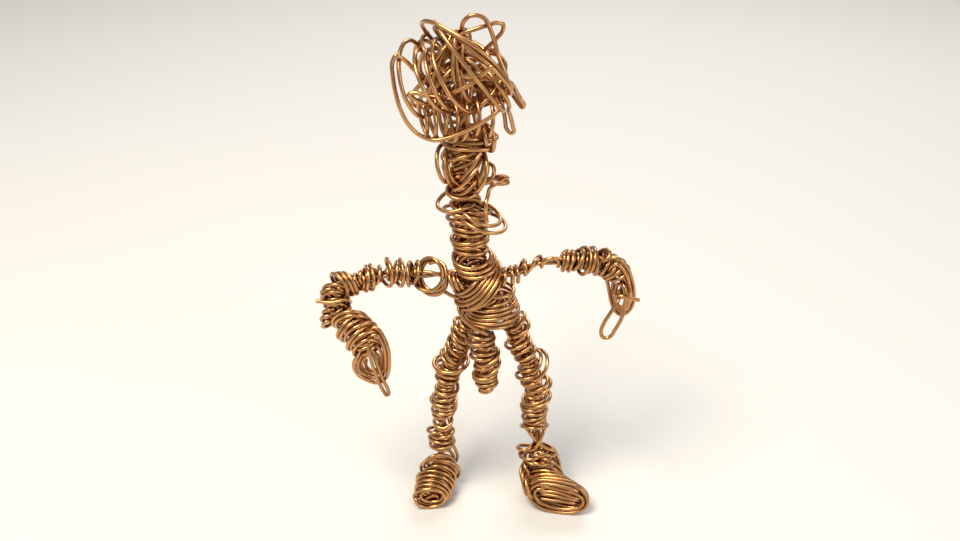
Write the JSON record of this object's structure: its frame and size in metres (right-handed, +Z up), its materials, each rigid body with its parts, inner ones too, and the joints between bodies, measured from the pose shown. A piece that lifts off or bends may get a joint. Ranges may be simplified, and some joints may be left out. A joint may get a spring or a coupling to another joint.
{
  "type": "wire figure",
  "caption": "Standing bendable figure of bare copper wire: folded core wires wound with coils, a loose tangle for a head, looped hands and barrel-shaped feet.",
  "frame": {"origin": "on the floor, under the middle of the figure's bounding box", "axes": "+Z up, the figure faces -Y, its own right side is at -X"},
  "size_m": [0.0792, 0.025, 0.1394],
  "materials": {
    "core_wire": "tarnished copper",
    "wound_wire": "satin copper"
  },
  "bodies": {
    "torso": {"hip_arch_outer": "core_wire", "hip_arch_inner": "core_wire", "spine_core_right": "core_wire", "spine_core_left": "core_wire", "chest_wrap": "wound_wire", "shoulder_bar_front": "core_wire", "shoulder_bar_back": "core_wire", "hip_wrap": "wound_wire", "waist_wrap": "wound_wire", "stub_root_right": "core_wire", "stub_root_left": "core_wire"},
    "stub": {"stub_core": "core_wire", "stub_wrap": "wound_wire"},
    "neck": {"neck_core_right": "core_wire", "neck_core_left": "core_wire", "neck_wrap": "wound_wire"},
    "head": {"head_core": "core_wire", "jaw_wrap": "wound_wire", "head_tangle": "wound_wire"},
    "right_upper_arm": {"right_shoulder_ring": "wound_wire", "right_upper_arm_core_front": "core_wire", "right_upper_arm_core_back": "core_wire", "right_upper_arm_wrap": "wound_wire"},
    "right_forearm": {"right_forearm_core": "core_wire", "right_forearm_wrap": "wound_wire"},
    "left_upper_arm": {"left_upper_arm_core_front": "core_wire", "left_upper_arm_core_back": "core_wire", "left_upper_arm_wrap": "wound_wire"},
    "left_forearm": {"left_forearm_core": "core_wire", "left_forearm_wrap": "wound_wire"},
    "right_thigh": {"right_thigh_core_a": "core_wire", "right_thigh_core_b": "core_wire", "right_thigh_wrap": "wound_wire"},
    "right_shin": {"right_shin_core_a": "core_wire", "right_shin_core_b": "core_wire", "right_shin_wrap": "wound_wire"},
    "right_foot": {"right_foot_wrap": "wound_wire", "right_foot_core": "core_wire"},
    "left_thigh": {"left_thigh_core_a": "core_wire", "left_thigh_core_b": "core_wire", "left_thigh_wrap": "wound_wire"},
    "left_shin": {"left_shin_core_a": "core_wire", "left_shin_core_b": "core_wire", "left_shin_wrap": "wound_wire"},
    "left_foot": {"left_foot_wrap": "wound_wire", "left_foot_core": "core_wire"}
  },
  "joints": [
    {"name": "neck_bend", "type": "hinge", "parent": "torso", "child": "neck", "pos_m": [-0.00293, 0.00002, 0.0846], "axis": [0.9976, 0, 0.0698], "range_deg": [-25, 25]},
    {"name": "head_nod", "type": "hinge", "parent": "neck", "child": "head", "pos_m": [-0.00376, 0.00002, 0.09657], "axis": [0.9976, 0, 0.0698], "range_deg": [-22, 22]},
    {"name": "stub_bend", "type": "hinge", "parent": "torso", "child": "stub", "pos_m": [0.00055, -0.00335, 0.05836], "axis": [1, 0, 0], "range_deg": [-30, 15]},
    {"name": "right_shoulder_swing", "type": "hinge", "parent": "torso", "child": "right_upper_arm", "pos_m": [-0.01319, 0.00002, 0.07475], "axis": [0, 1, 0], "range_deg": [-40, 60]},
    {"name": "right_elbow_bend", "type": "hinge", "parent": "right_upper_arm", "child": "right_forearm", "pos_m": [-0.03889, 0.00002, 0.06915], "axis": [-0.1226, -0.9636, 0.2375], "range_deg": [-60, 10]},
    {"name": "left_shoulder_swing", "type": "hinge", "parent": "torso", "child": "left_upper_arm", "pos_m": [0.00821, 0.00002, 0.07475], "axis": [0, 1, 0], "range_deg": [-60, 40]},
    {"name": "left_elbow_bend", "type": "hinge", "parent": "left_upper_arm", "child": "left_forearm", "pos_m": [0.03424, 0.00002, 0.07915], "axis": [-0.0182, -0.9945, 0.1029], "range_deg": [-15, 60]},
    {"name": "right_hip_swing", "type": "hinge", "parent": "torso", "child": "right_thigh", "pos_m": [-0.00405, 0.00142, 0.05846], "axis": [0.9272, 0, -0.3746], "range_deg": [-35, 30]},
    {"name": "right_knee_bend", "type": "hinge", "parent": "right_thigh", "child": "right_shin", "pos_m": [-0.0106, 0.00172, 0.04223], "axis": [0.9976, 0, -0.0698], "range_deg": [-10, 60]},
    {"name": "right_ankle_bend", "type": "hinge", "parent": "right_shin", "child": "right_foot", "pos_m": [-0.01251, 0.00172, 0.015], "axis": [0.9135, -0.4067, 0], "range_deg": [-25, 25]},
    {"name": "left_hip_swing", "type": "hinge", "parent": "torso", "child": "left_thigh", "pos_m": [0.00635, 0.00142, 0.05846], "axis": [-0.9272, 0, -0.3746], "range_deg": [-30, 35]},
    {"name": "left_knee_bend", "type": "hinge", "parent": "left_thigh", "child": "left_shin", "pos_m": [0.01291, 0.00172, 0.04223], "axis": [-0.9976, 0, -0.0698], "range_deg": [-60, 10]},
    {"name": "left_ankle_bend", "type": "hinge", "parent": "left_shin", "child": "left_foot", "pos_m": [0.01481, 0.00172, 0.015], "axis": [-0.829, -0.5592, 0], "range_deg": [-25, 25]}
  ]
}
